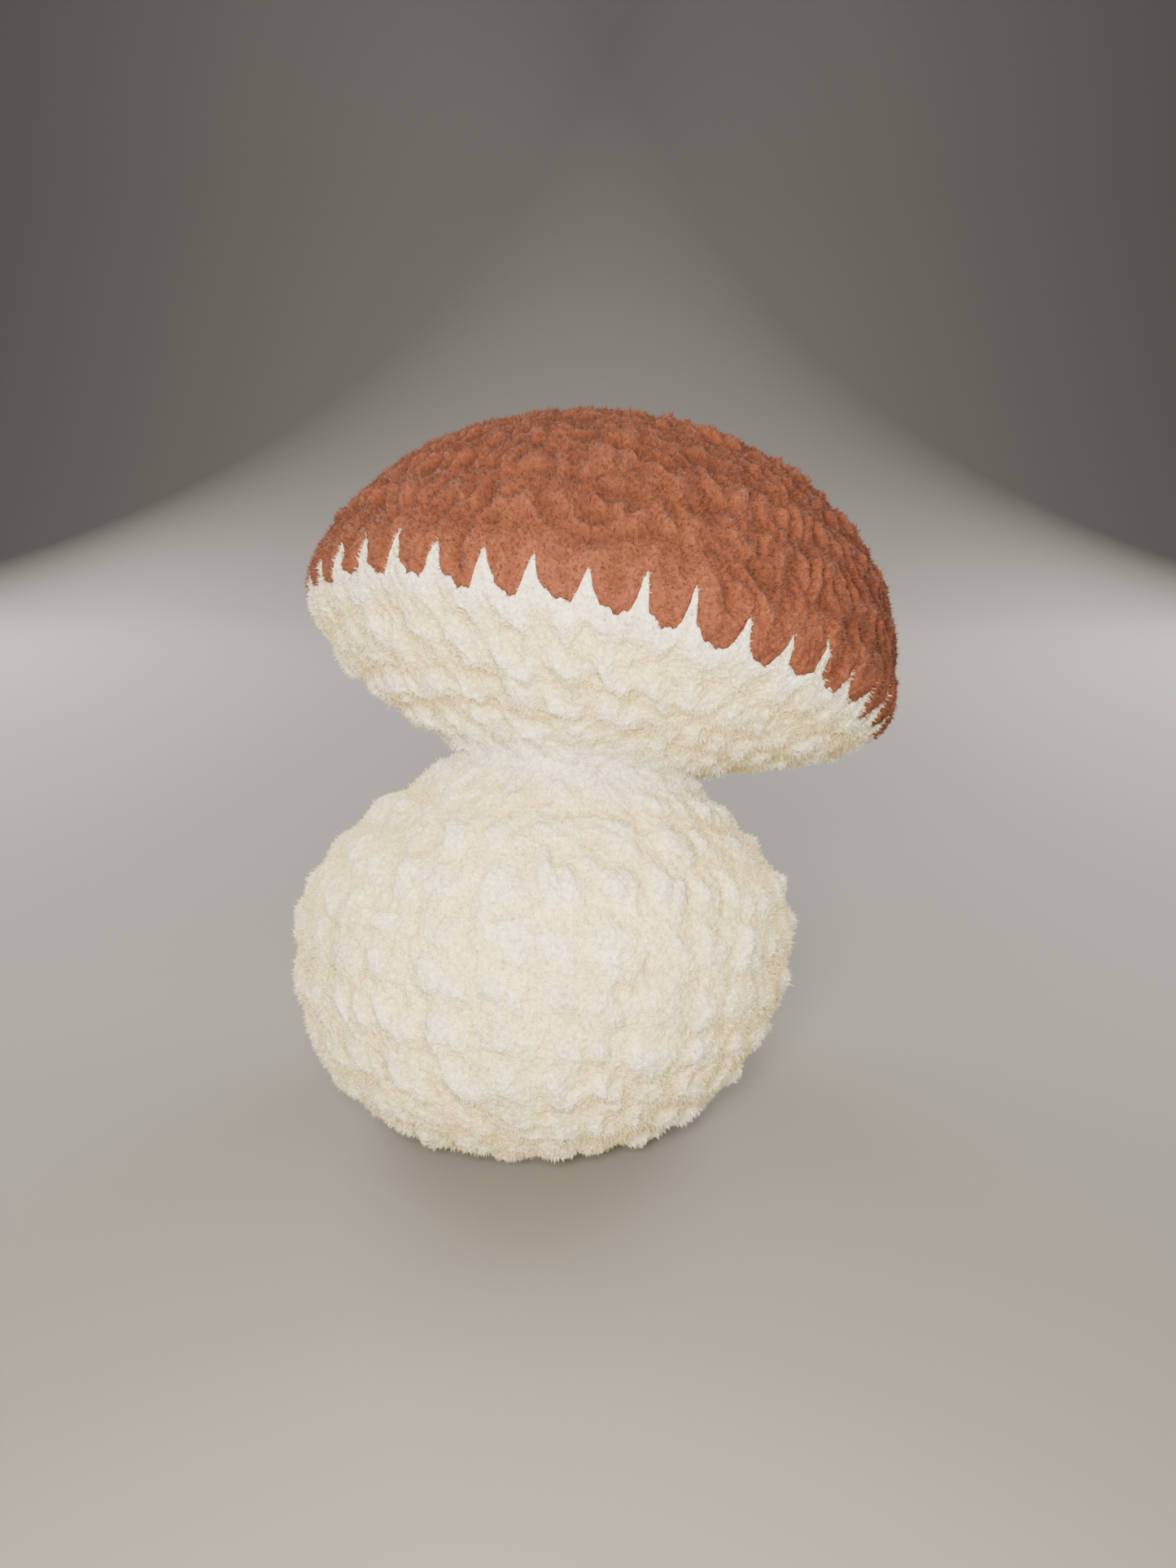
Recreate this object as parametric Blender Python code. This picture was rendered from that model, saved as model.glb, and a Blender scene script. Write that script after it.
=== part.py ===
"""A crocheted mushroom plush, stuffed, leaning back a little on its flattened foot.

Metres, +Z up, -Y to the front. The origin is the centre of the flat patch that it stands on.
Every surface is a skin through rings of points. A ring is worked out upright, at a distance along the outline of a
turned mushroom, and then leaned as the real one leans, with its foot pressed flat.
"""
import bpy
import numpy as np

# Bulb of the stem, measured up its own axis from its lower pole
BULB_RADIUS = 0.0580
BULB_WIDEST = 0.0520
BULB_UPPER_DEPTH = 0.0420
BULB_LOWER_POWER = 2.3
BULB_UPPER_POWER = 1.75
NECK_RADIUS = 0.0245

# Cap, on the same axis: its widest round, the puffed underside below it and the dome above it
CAP_RADIUS = 0.0695
CAP_WIDEST = 0.1160
UNDERSIDE_DEPTH = 0.0275
UNDERSIDE_POWER = 1.8
DOME_HEIGHT = 0.0535
DOME_POWER = 2.05
BLEND_POWER = 6.5

# Lean in degrees, to +X and to +Y, of the bulb's rounds and of the cap's, and the bend between them
BULB_LEAN = (4.0, 11.5)
CAP_LEAN = (9.5, 22.0)
BULB_SLANT = 4.5
BEND_HEIGHT = 0.0920
BEND_LENGTH = 0.0090
CAP_SHIFT = 0.0030
DOME_SHIFT = 0.0020
BRIM_DROP = 0.0045
BRIM_REACH = 0.0220
FOOT_PRESS = 0.0050

# Fabric: thickness, stitches in each round from the bottom up, their drift to the right in stitches per metre going
# down, and how far they stand out from the skin's middle surface
WALL = 0.0060
GAP = 0.0003
CREAM_STITCHES = (6, 12, 18, 24, 30, 30, 30, 30, 30, 30, 24, 24, 18, 24, 30, 36, 42)
BROWN_STITCHES = (42, 42, 42, 36, 30, 24, 18, 12, 6)
ROUND_TILT = 0.0028
DRIFT = 12.0
CREST = 0.0012
COLUMN_GROOVE = -0.0012
ROUND_GROOVE = -0.0013
CORNER_GROOVE = -0.0022
UNEVEN = 0.00025
FIRST_GROOVE = np.radians(264.8)

# The zigzag between the two colours, one stitch of it: place across the stitch, and height over the change
COLOUR_CHANGE = CAP_WIDEST - 0.0035
ZIGZAG = ((-0.05, 0.0065), (0.14, 0.0004), (0.35, -0.0024), (0.65, -0.0024), (0.83, 0.0004))
ZIGZAG_LIFT = -0.0004
ABOVE_SPIKE = 0.0086
LOBE_CREST = 0.0030
FIRST_CREST = -0.0052

# Plain inner surfaces, with their nearest rings above and below the zigzag
INNER_COLUMNS = 24
INNER_STEP = 0.0080
INNER_ABOVE = 0.0145
INNER_BELOW = 0.0105

TURN = 2 * np.pi
TIE = 1e-9
rng = np.random.default_rng(7)


def superellipse(distance, depth, power):
    """1 at no distance, falling to 0 at the depth."""
    return np.clip(1 - (np.clip(distance, 0, None) / depth) ** power, 0, None) ** (1 / power)


def radius(height):
    """Radius of the upright mushroom: bulb, neck and cap, each a superellipse, run into each other."""
    lower = superellipse(BULB_WIDEST - height, BULB_WIDEST, BULB_LOWER_POWER)
    upper = superellipse(height - BULB_WIDEST, BULB_UPPER_DEPTH, BULB_UPPER_POWER)
    bulb = BULB_RADIUS * np.where(height < BULB_WIDEST, lower, upper)
    under = superellipse(CAP_WIDEST - height, UNDERSIDE_DEPTH, UNDERSIDE_POWER)
    dome = superellipse(height - CAP_WIDEST, DOME_HEIGHT, DOME_POWER)
    cap = CAP_RADIUS * np.where(height < CAP_WIDEST, under, dome)
    neck = np.where((height > BULB_WIDEST) & (height < CAP_WIDEST), NECK_RADIUS, 0.0)
    return (bulb**BLEND_POWER + cap**BLEND_POWER + neck**BLEND_POWER) ** (1 / BLEND_POWER)


def meridian():
    """Points of the outline from lower pole to top, with their distance along it and their outward normals."""
    quarter = np.linspace(0, np.pi / 2, 500)
    heights = np.concatenate([
        BULB_WIDEST * (1 - np.cos(quarter)),
        np.linspace(BULB_WIDEST, CAP_WIDEST, 800)[1:-1],
        CAP_WIDEST + DOME_HEIGHT * np.sin(quarter),
    ])
    radii = radius(heights)
    radii[[0, -1]] = 0.0
    along = np.concatenate([[0], np.cumsum(np.hypot(np.diff(heights), np.diff(radii)))])
    rise, out = np.gradient(heights, along), np.gradient(radii, along)
    length = np.hypot(rise, out)
    return along, heights, radii, rise / length, -out / length


ALONG, HEIGHTS, RADII, NORMAL_OUT, NORMAL_UP = meridian()
LENGTH = ALONG[-1]
CHANGE = float(np.interp(COLOUR_CHANGE, HEIGHTS, ALONG))
EDGE_STITCHES = CREAM_STITCHES[-1]
EDGE_WIDTH = TURN * float(np.interp(CHANGE, ALONG, RADII)) / EDGE_STITCHES


def upright(angles, along, lift):
    """Points of the turned mushroom at these angles and distances along its outline, lifted off it."""
    reach = np.interp(along, ALONG, RADII) + lift * np.interp(along, ALONG, NORMAL_OUT)
    height = np.interp(along, ALONG, HEIGHTS) + lift * np.interp(along, ALONG, NORMAL_UP)
    return np.stack([reach * np.cos(angles), reach * np.sin(angles), height], axis=-1)


def cap_share(height):
    """0 on the bulb and 1 on the cap, turning over at the bend."""
    return 1 / (1 + np.exp(-(height - BEND_HEIGHT) / BEND_LENGTH))


def axis_at(height):
    """Where the leaning axis is at each height, with its direction."""
    fine = np.linspace(-0.01, CAP_WIDEST + DOME_HEIGHT + 0.01, 400)
    share = cap_share(fine)[:, None]
    degrees = np.array(BULB_LEAN) * (1 - share) + np.array(CAP_LEAN) * share
    direction = np.column_stack([np.tan(np.radians(degrees)), np.ones(len(fine))])
    direction /= np.linalg.norm(direction, axis=1)[:, None]
    run = direction.copy()
    run[:, :1] += np.tan(np.radians(BULB_SLANT)) * (1 - share)
    steps = np.diff(fine)[:, None] * (run[1:] + run[:-1]) / 2
    place = np.vstack([np.zeros(3), np.cumsum(steps, axis=0)])
    place -= [np.interp(0, fine, place[:, k]) for k in range(3)]
    columns = [np.interp(height, fine, values) for values in (*place.T, *direction.T)]
    return np.stack(columns[:3], axis=-1), np.stack(columns[3:], axis=-1)


def lean(points):
    """Sets upright points on the leaning axis, with the cap shifted and its brim lower on the +X side."""
    height = points[:, 2]
    place, direction = axis_at(height)
    side = np.cross([0.0, 1.0, 0.0], direction)
    side /= np.linalg.norm(side, axis=1)[:, None]
    back = np.cross(direction, side)
    dome = np.clip((height - CAP_WIDEST) / DOME_HEIGHT, 0, 1)
    across = points[:, 0] + CAP_SHIFT * cap_share(height) + DOME_SHIFT * dome
    near_brim = np.exp(-((height - COLOUR_CHANGE) / BRIM_REACH) ** 2)
    drop = BRIM_DROP * near_brim * points[:, 0] / CAP_RADIUS
    out = place + across[:, None] * side + points[:, 1:2] * back - drop[:, None] * direction
    out[:, 2] -= FOOT_PRESS
    return out


def foot_centre():
    """Centre of the patch where the smooth skin, leaning, would pass below the floor."""
    angles, along = np.meshgrid(np.linspace(0, TURN, 180, endpoint=False), np.linspace(0, BULB_RADIUS, 240))
    skin = lean(upright(angles.ravel(), along.ravel(), 0.0))
    low = skin[skin[:, 2] < 0, :2]
    return (low.min(axis=0) + low.max(axis=0)) / 2


FOOT = foot_centre()


def ring(angles, along, lift, depth=0.0, tilt=ROUND_TILT):
    """A ring of the skin, or of a surface at a depth inside it: its angles in rising order, and its points.

    Rounds lie a little lower on the +X side by the tilt. What would be below the floor is pressed flat on it.
    """
    angles = np.mod(angles, TURN)
    order = np.argsort(angles)
    angles = angles[order]
    along = np.broadcast_to(along, angles.shape)[order]
    lift = np.broadcast_to(lift, angles.shape)[order]
    along = along - tilt * np.cos(angles) * np.interp(along, ALONG, RADII) / CAP_RADIUS
    points = lean(upright(angles, along, lift - depth))
    points[:, :2] -= FOOT
    points[:, 2] = np.maximum(points[:, 2], depth)
    return angles, points


def pole(along, depth=0.0):
    """The single point where a surface meets the axis, as a ring."""
    return ring(np.zeros(1), along, 0.0, depth, tilt=0.0)


def per_stitch(count, places, drift=0.0):
    """Angles of points at the same places across each stitch of a round."""
    phase = np.tile(places, count) + np.repeat(np.arange(count), len(places))
    return FIRST_GROOVE + (phase + drift) * TURN / count


def stitch_ring(count, along, groove, crest, drift=0.0, groove_place=0.0):
    """Three points a stitch, one in the groove between two stitches and two on the stitch, a little uneven."""
    angles = per_stitch(count, (groove_place, 1 / 3, 2 / 3), drift)
    lift = np.tile((groove, crest, crest), count) + rng.normal(0, UNEVEN, 3 * count)
    return ring(angles, np.tile(along, count), lift)


def rounds_of_stitches(start, end, counts):
    """Groove and crest rings of the rounds between two distances along the outline."""
    rings = []
    bounds = np.linspace(start, end, len(counts) + 1)
    for count, low, high in zip(counts, bounds[:-1], bounds[1:]):
        middle = (low + high) / 2
        drift = DRIFT * (CHANGE - middle)
        if low > 0:
            rings.append(stitch_ring(count, [low] * 3, CORNER_GROOVE, ROUND_GROOVE, drift))
        rings.append(stitch_ring(count, [middle] * 3, COLUMN_GROOVE, CREST, drift))
    return rings


def zigzag_ring(side, depth=0.0):
    """The line between the colours, half a gap off it to one side."""
    line = np.array(ZIGZAG) * (EDGE_WIDTH, 1)
    after = np.roll(line, -1, axis=0) - line
    after[-1, 0] += EDGE_WIDTH
    after /= np.linalg.norm(after, axis=1)[:, None]
    both = after + np.roll(after, 1, axis=0)
    normal = np.column_stack([-both[:, 1], both[:, 0]]) / np.linalg.norm(both, axis=1)[:, None]
    square = normal[:, 1] * after[:, 0] - normal[:, 0] * after[:, 1]
    line += normal * (side * GAP / 2 / square)[:, None]
    angles = per_stitch(EDGE_STITCHES, line[:, 0] / EDGE_WIDTH)
    return ring(angles, CHANGE + np.tile(line[:, 1], EDGE_STITCHES), ZIGZAG_LIFT, depth)


def beside_zigzag(height):
    """The ring inside the fabric that lies next to the zigzag, level, two points a stitch."""
    return ring(per_stitch(EDGE_STITCHES, (ZIGZAG[0][0], 0.5)), CHANGE + height, 0.0, WALL)


def inner_rings(start, end, depth=WALL):
    """Plain rings on the fabric's inner surface, from one distance along the outline to the other."""
    steps = round(abs(end - start) / INNER_STEP) + 1
    angles = np.linspace(0, TURN, INNER_COLUMNS, endpoint=False)
    return [ring(angles, along, 0.0, depth, tilt=0.0) for along in np.linspace(start, end, steps)]


def bridge(first, second, a, b, first_leads):
    """Triangles between two rings that may differ in number of points, going round both by angle.

    a and b are the numbers of their first points. Where both have a point at one angle, first_leads says which
    of them the walk leaves first.
    """
    faces = []
    i = j = 0
    n, m = len(first), len(second)
    while i < n or j < m:
        ahead = second[(j + 1) % m] + TURN * ((j + 1) // m) - first[(i + 1) % n] - TURN * ((i + 1) // n)
        if j >= m or (i < n and (ahead > TIE or (first_leads and ahead > -TIE))):
            faces.append((a + i % n, a + (i + 1) % n, b + j % m))
            i += 1
        else:
            faces.append((a + i % n, b + (j + 1) % m, b + j % m))
            j += 1
    return faces


def skin(name, rings, finish, collection, first_leads=True):
    """An object with a surface through rings that are ordered so that up the outside comes after down the inside.

    The first and the last ring are poles.
    """
    starts = np.cumsum([0] + [len(angles) for angles, _ in rings])
    count, last = len(rings[1][0]), len(rings[-2][0])
    faces = [(0, 1 + (k + 1) % count, 1 + k) for k in range(count)]
    for number in range(1, len(rings) - 2):
        first, second = rings[number][0], rings[number + 1][0]
        faces += bridge(first, second, int(starts[number]), int(starts[number + 1]), first_leads)
    faces += [(int(starts[-3]) + k, int(starts[-3]) + (k + 1) % last, int(starts[-2])) for k in range(last)]
    mesh = bpy.data.meshes.new(name)
    mesh.from_pydata(np.vstack([points for _, points in rings]).tolist(), [], faces)
    mesh.materials.append(finish)
    mesh.shade_smooth()
    part = bpy.data.objects.new(name, mesh)
    collection.objects.link(part)
    return part


def cap_top(finish, collection):
    """The brown skin: from its inner pole down the inside, round the zigzag edge and up the outside.

    It goes round its edge the other way than the cream skin, so the other ring leads and both edges are cut alike.
    """
    second_round = CHANGE + (LENGTH - CHANGE) / len(BROWN_STITCHES)
    rings = [pole(LENGTH, WALL)]
    rings += inner_rings(LENGTH - INNER_STEP, CHANGE + INNER_ABOVE)
    rings += [beside_zigzag(ABOVE_SPIKE), zigzag_ring(1, WALL), zigzag_ring(1)]
    heights = [CHANGE + ABOVE_SPIKE, CHANGE + LOBE_CREST, CHANGE + LOBE_CREST]
    rings += [stitch_ring(EDGE_STITCHES, heights, COLUMN_GROOVE, CREST, groove_place=ZIGZAG[0][0])]
    rings += rounds_of_stitches(second_round, LENGTH, BROWN_STITCHES[1:])
    rings += [pole(LENGTH)]
    return skin("cap_top", rings, finish, collection, first_leads=False)


def underside_and_stem(finish, collection):
    """The cream skin: from its closing round up the outside, over the zigzag edge and down the inside."""
    last_bound = CHANGE - CHANGE / len(CREAM_STITCHES)
    rings = [pole(0.0)]
    rings += rounds_of_stitches(0.0, last_bound, CREAM_STITCHES[:-1])
    rings += [stitch_ring(EDGE_STITCHES, [last_bound] * 3, CORNER_GROOVE, ROUND_GROOVE)]
    heights = [CHANGE + FIRST_CREST] * 3
    rings += [stitch_ring(EDGE_STITCHES, heights, COLUMN_GROOVE, CREST, groove_place=ZIGZAG[0][0])]
    rings += [zigzag_ring(-1), zigzag_ring(-1, WALL), beside_zigzag(FIRST_CREST)]
    rings += inner_rings(CHANGE - INNER_BELOW, INNER_STEP)
    rings += [pole(0.0, WALL)]
    return skin("underside_and_stem", rings, finish, collection)


def stuffing(finish, collection):
    """The filling: the inner surfaces of both skins, a gap further in, with the same columns and levels."""
    depth = WALL + GAP
    rings = [pole(0.0, depth)]
    rings += inner_rings(INNER_STEP, CHANGE - INNER_BELOW, depth)
    rings += inner_rings(CHANGE + INNER_ABOVE, LENGTH - INNER_STEP, depth)
    rings += [pole(LENGTH, depth)]
    return skin("stuffing", rings, finish, collection)


def linear(hex_colour):
    """Linear RGBA of an sRGB hex colour."""
    values = np.array([int(hex_colour[k:k + 2], 16) for k in (1, 3, 5)]) / 255
    return (*np.where(values <= 0.04045, values / 12.92, ((values + 0.055) / 1.055) ** 2.4), 1.0)


def material(name, hex_colour, roughness):
    """A plain Principled finish."""
    finish = bpy.data.materials.new(name)
    finish.use_nodes = True
    shader = finish.node_tree.nodes["Principled BSDF"]
    shader.inputs["Base Color"].default_value = linear(hex_colour)
    shader.inputs["Roughness"].default_value = roughness
    shader.inputs["Metallic"].default_value = 0.0
    finish.diffuse_color = linear(hex_colour)
    return finish


def main():
    for old in list(bpy.data.objects):
        bpy.data.objects.remove(old, do_unlink=True)
    collection = bpy.data.collections.new("crochet_mushroom_plush")
    bpy.context.scene.collection.children.link(collection)
    cap_top(material("brown_chenille", "#C0755A", 0.95), collection)
    underside_and_stem(material("cream_chenille", "#EFE9DC", 0.95), collection)
    stuffing(material("polyester_filling", "#F6F6F2", 1.0), collection)


main()
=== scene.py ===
"""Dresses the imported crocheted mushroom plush: chenille stitches, pile, colours, floor, light and camera.

Metres, +Z up, -Y to the front, like the part. Lengths that belong to the yarn are in millimetres where
their comment says so. Every surface is a function of two parameters: the angle round the mushroom's own
axis, and the distance along its outline from the lower pole to the top.
"""

import bpy
import numpy as np
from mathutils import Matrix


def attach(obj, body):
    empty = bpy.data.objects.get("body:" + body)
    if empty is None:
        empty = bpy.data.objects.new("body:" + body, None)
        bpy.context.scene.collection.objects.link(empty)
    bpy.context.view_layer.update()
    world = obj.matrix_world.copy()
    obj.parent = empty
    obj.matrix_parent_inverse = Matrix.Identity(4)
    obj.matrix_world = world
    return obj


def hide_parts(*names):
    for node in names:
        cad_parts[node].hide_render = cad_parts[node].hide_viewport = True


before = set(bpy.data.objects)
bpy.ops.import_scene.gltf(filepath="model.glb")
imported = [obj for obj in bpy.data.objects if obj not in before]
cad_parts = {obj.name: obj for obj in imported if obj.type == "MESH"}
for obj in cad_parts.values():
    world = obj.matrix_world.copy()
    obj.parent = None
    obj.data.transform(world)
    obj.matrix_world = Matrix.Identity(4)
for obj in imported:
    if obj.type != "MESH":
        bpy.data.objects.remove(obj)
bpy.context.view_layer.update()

TURN = 2 * np.pi
MM = 0.001

# The turned mushroom, on its own axis: bulb, neck and cap
BULB_RADIUS = 0.0580
BULB_WIDEST = 0.0520
BULB_UPPER_DEPTH = 0.0420
BULB_LOWER_POWER = 2.3
BULB_UPPER_POWER = 1.75
NECK_RADIUS = 0.0245
CAP_RADIUS = 0.0695
CAP_WIDEST = 0.1160
UNDERSIDE_DEPTH = 0.0275
UNDERSIDE_POWER = 1.8
DOME_HEIGHT = 0.0535
DOME_POWER = 2.05
BLEND_POWER = 6.5

# How it leans, in degrees to +X and +Y, and where the lean turns over from the bulb's to the cap's
BULB_LEAN = (4.0, 11.5)
CAP_LEAN = (9.5, 22.0)
BULB_SLANT = 4.5
BEND_HEIGHT = 0.0920
BEND_LENGTH = 0.0090
CAP_SHIFT = 0.0030
DOME_SHIFT = 0.0020
BRIM_DROP = 0.0045
BRIM_REACH = 0.0220

# It is pressed this far into the floor, and its height turns smoothly into the flat patch over twice the
# softness
FOOT_PRESS = 0.0050
FOOT_SOFTNESS = 0.5 * MM

# The crochet: stitches in each round from the bottom up, slant of the rounds, drift of the columns to the
# right in stitches per metre going down, and where the first groove between two stitches is
CREAM_STITCHES = (6, 12, 18, 24, 30, 30, 30, 30, 30, 30, 24, 24, 18, 24, 30, 36, 42)
BROWN_STITCHES = (42, 42, 42, 36, 30, 24, 18, 12, 6)
ROUND_TILT = 0.0028
DRIFT = 12.0
FIRST_GROOVE = np.radians(264.8)
COLOUR_CHANGE = CAP_WIDEST - 0.0035

# The line between the colours over one stitch: place across the stitch, and millimetres over the change
ZIGZAG = np.array([
    (-0.05, 7.0), (-0.02, 6.3), (0.015, 4.6), (0.055, 2.6), (0.10, 1.0), (0.16, -0.1),
    (0.25, -1.0), (0.36, -1.8), (0.47, -2.3), (0.58, -2.5), (0.67, -2.4), (0.74, -2.0),
    (0.79, -1.1), (0.83, 0.3), (0.86, 2.1), (0.89, 4.1), (0.92, 6.0), (0.95, 7.0),
])

# How far its spikes reach up and its lobes down, at the most
SPIKE_REACH = 8 * MM
LOBE_REACH = 4 * MM

# To find how near a point is to that line: samples in each stitch, how many of them are tried to each
# side, how far from the change a point is tried at all, and the millimetres that every other point gets
LINE_SAMPLES = 24
LINE_SEARCH = 36
LINE_NEAR = 16 * MM
LINE_FAR = 50.0

# How far each skin's edge keeps to its own side of the line, and how deep it then goes in under it, in
# millimetres
EDGE_GAP = 0.08
EDGE_TUCKS = (0.7, 1.6, 2.8, 4.2)

# Vertices across a stitch at the colour change, which sets how fine each skin is all over, the rings in
# the round at the line for each of those vertices, and the fewest points that a ring has
CREAM_FINENESS = 14
BROWN_FINENESS = 19
RINGS_AT_EDGE = 1.1
LEAST_POINTS = 12

# How sharply blobs meet, per millimetre, then the blobs of a stitch: how far right and up of its middle,
# half width, half length, turn in degrees with its top to the left, and height, in millimetres for a
# stitch 11 mm wide
CRISP = 1.7
BULB_STITCH = ((-1.0, 0.5, 3.4, 5.3, 22, 2.3), (2.9, -1.4, 2.5, 4.3, -12, 1.8), (0.0, 0.0, 5.6, 6.6, 0, 0.5))
CAP_STITCH = ((-2.5, 0.6, 2.4, 5.3, 14, 1.9), (2.5, -0.6, 2.4, 5.3, -12, 1.9), (0.0, 0.0, 5.6, 6.6, 0, 0.5))
STITCH_WIDTH = 11

# A stitch's blobs shrink and widen with it between these millimetres, and bends count it as no narrower
# than three
STITCH_WIDTHS = (6, 13)
LEAST_WIDTH = 3

# A round is this tall to the blobs, and one that isn't there is put this far away, in millimetres
ROUND_HEIGHT = 11.2
FAR_AWAY = 60.0

# How much stitches differ: millimetres across and up, share of the size, share of the height, and degrees
UNEVEN_ACROSS, UNEVEN_UP, UNEVEN_SIZE, UNEVEN_HEIGHT, UNEVEN_TURN = 0.5, 0.6, 0.08, 0.18, 8

# The lowest that one blob goes, in its own heights, and the ground between all blobs, in millimetres
BLOB_LOWEST = -2
GROUND = -1.2

# Slow bends of the stitch pattern, round the axis and then along it: millimetres and wavelength of two
# waves each
BENDS = (((1.1, 42), (0.7, 11)), ((1.0, 47), (0.8, 10)))

# The roughness of every point, in millimetres, and how many cosines make up the pile's noise
GRAIN = 0.05
PILE_WAVES = 44

# The neck's crease is filled out, most at the front, where the lean of the cap draws the stitches
# straight: the distance that this reaches, millimetres of it, share of the relief that it takes, its
# share at the sides, and how much that share grows to the front
NECK_REACH = 8 * MM
NECK_FILL = 2.4
NECK_SMOOTHS = 0.45
NECK_AT_SIDES = 0.6
NECK_TO_FRONT = 0.4

# Painted shade in the grooves: where a groove starts to take its darker colour, yellower on the cream as a
# painted glow, and how deep it is when it has it all, and over what distance from the line between the
# colours it does so, in millimetres
PAINTED_SHADE_TOP = 0.8
PAINTED_SHADE_DEPTH = 2.6
PAINTED_SHADE_FADE = 2.5

# A tuft of the cut pile is this far across. A blade is wider than the real fibre of 0.05 mm, so that few
# enough of them cover the skin
TUFT = 1.3 * MM
BLADE = 0.20 * MM
PILE_LENGTH = 0.8 * MM
ROOT_DEPTH = 0.25 * MM
OVER_THE_LINE = 0.1 * MM
OVER_THE_FLOOR = 0.05 * MM

# Blades: their lengths at random, their length at a tuft's middle and what they lose to its rim, all as
# shares of the pile's, how much of the way their tips go over to the middle, and how far they stray
BLADE_LENGTHS = (0.6, 1.2)
AT_MIDDLE, LOST_AT_RIM = 1.2, 0.8
TO_MIDDLE = 0.6
STRAY = 0.34

# Painted shade on the blades: how much more a blade counts as lying in a groove, and so is painted darker,
# at its foot and its tip, and how much more at its tuft's rim
FOOT_SHADE, TIP_SHADE, RIM_SHADE = 0.25, -0.10, 0.3

# The matrix and the multiple that make a random point out of the place of a cell
SCATTER = np.array([[127.1, 269.5, 419.2], [311.7, 183.3, 371.9], [74.7, 246.1, 168.2]])
SCATTER_SIZE = 43758.5

# The map: its width and height for a skin, its margin, and the half width and the height of a blade on it
MAP_WIDTH, MAP_HEIGHT, MAP_MARGIN = 0.97, 0.98, 0.01
BLADE_ON_MAP = (4e-4, 5e-3)

# The chenille's patterns, per metre: tufts 1.25 mm across, the noise that shakes them by half a
# millimetre so that they aren't round, fibres 0.5 mm wide, drawn ten times as coarse as they are so that
# they still show, and patches 12 mm wide where the pile lies another way
TUFTS = 800.0
SHAKES = 700.0
FIBRES = 1900.0
PATCHES = 85.0

# The fibrefill's clouds, per metre, each about 11 mm across
CLOUDS = 90.0


def superellipse(distance, depth, power):
    """1 at no distance, falling to 0 at the depth: the (1/power) power of 1 - (distance / depth) to the
    power.
    """
    return np.clip(1 - (np.clip(distance, 0, None) / depth) ** power, 0, None) ** (1 / power)


def radius(height):
    """Radius of the upright mushroom: the superellipses of bulb, neck and cap, joined by a sum of high
    powers.
    """
    lower = superellipse(BULB_WIDEST - height, BULB_WIDEST, BULB_LOWER_POWER)
    upper = superellipse(height - BULB_WIDEST, BULB_UPPER_DEPTH, BULB_UPPER_POWER)
    bulb = BULB_RADIUS * np.where(height < BULB_WIDEST, lower, upper)
    under = superellipse(CAP_WIDEST - height, UNDERSIDE_DEPTH, UNDERSIDE_POWER)
    dome = superellipse(height - CAP_WIDEST, DOME_HEIGHT, DOME_POWER)
    cap = CAP_RADIUS * np.where(height < CAP_WIDEST, under, dome)
    neck = np.where((height > BULB_WIDEST) & (height < CAP_WIDEST), NECK_RADIUS, 0.0)
    return (bulb**BLEND_POWER + cap**BLEND_POWER + neck**BLEND_POWER) ** (1 / BLEND_POWER)


def meridian():
    """Points of the outline from lower pole to top, with their distance along it and their outward
    normals.

    Heights go by a cosine near each pole, where the outline runs level, and evenly between bulb and cap.
    """
    quarter = np.linspace(0, np.pi / 2, 500)
    heights = np.concatenate([
        BULB_WIDEST * (1 - np.cos(quarter)),
        np.linspace(BULB_WIDEST, CAP_WIDEST, 800)[1:-1],
        CAP_WIDEST + DOME_HEIGHT * np.sin(quarter),
    ])
    radii = radius(heights)
    radii[[0, -1]] = 0.0
    along = np.concatenate([[0], np.cumsum(np.hypot(np.diff(heights), np.diff(radii)))])
    rise, out = np.gradient(heights, along), np.gradient(radii, along)
    length = np.hypot(rise, out)
    return along, heights, radii, rise / length, -out / length


ALONG, HEIGHTS, RADII, NORMAL_OUT, NORMAL_UP = meridian()
LENGTH = ALONG[-1]
CHANGE = float(np.interp(COLOUR_CHANGE, HEIGHTS, ALONG))
NECK_ALONG = float(np.interp(CAP_WIDEST - 0.955 * UNDERSIDE_DEPTH, HEIGHTS, ALONG))
CREAM_BOUNDS = np.linspace(0, CHANGE, len(CREAM_STITCHES) + 1)
BROWN_BOUNDS = np.linspace(CHANGE, LENGTH, len(BROWN_STITCHES) + 1)
EDGE_STITCHES = CREAM_STITCHES[-1]

# The waist, where the bulb's pile ends and the underside's starts
WAIST = float(CREAM_BOUNDS[11])

# The first brown round reaches down into the lobes
LOWERED_BOUNDS = np.append(BROWN_BOUNDS[0] - 2.7 * MM, BROWN_BOUNDS[1:])


def upright(angles, along, lift):
    """Points of the turned mushroom: radius and height of the outline, each moved by the lift along its
    normal.
    """
    reach = np.interp(along, ALONG, RADII) + lift * np.interp(along, ALONG, NORMAL_OUT)
    height = np.interp(along, ALONG, HEIGHTS) + lift * np.interp(along, ALONG, NORMAL_UP)
    return np.stack([reach * np.cos(angles), reach * np.sin(angles), height], axis=-1)


def cap_share(height):
    """0 on the bulb and 1 on the cap: a logistic step at the bend."""
    return 1 / (1 + np.exp(-(height - BEND_HEIGHT) / BEND_LENGTH))


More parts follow.
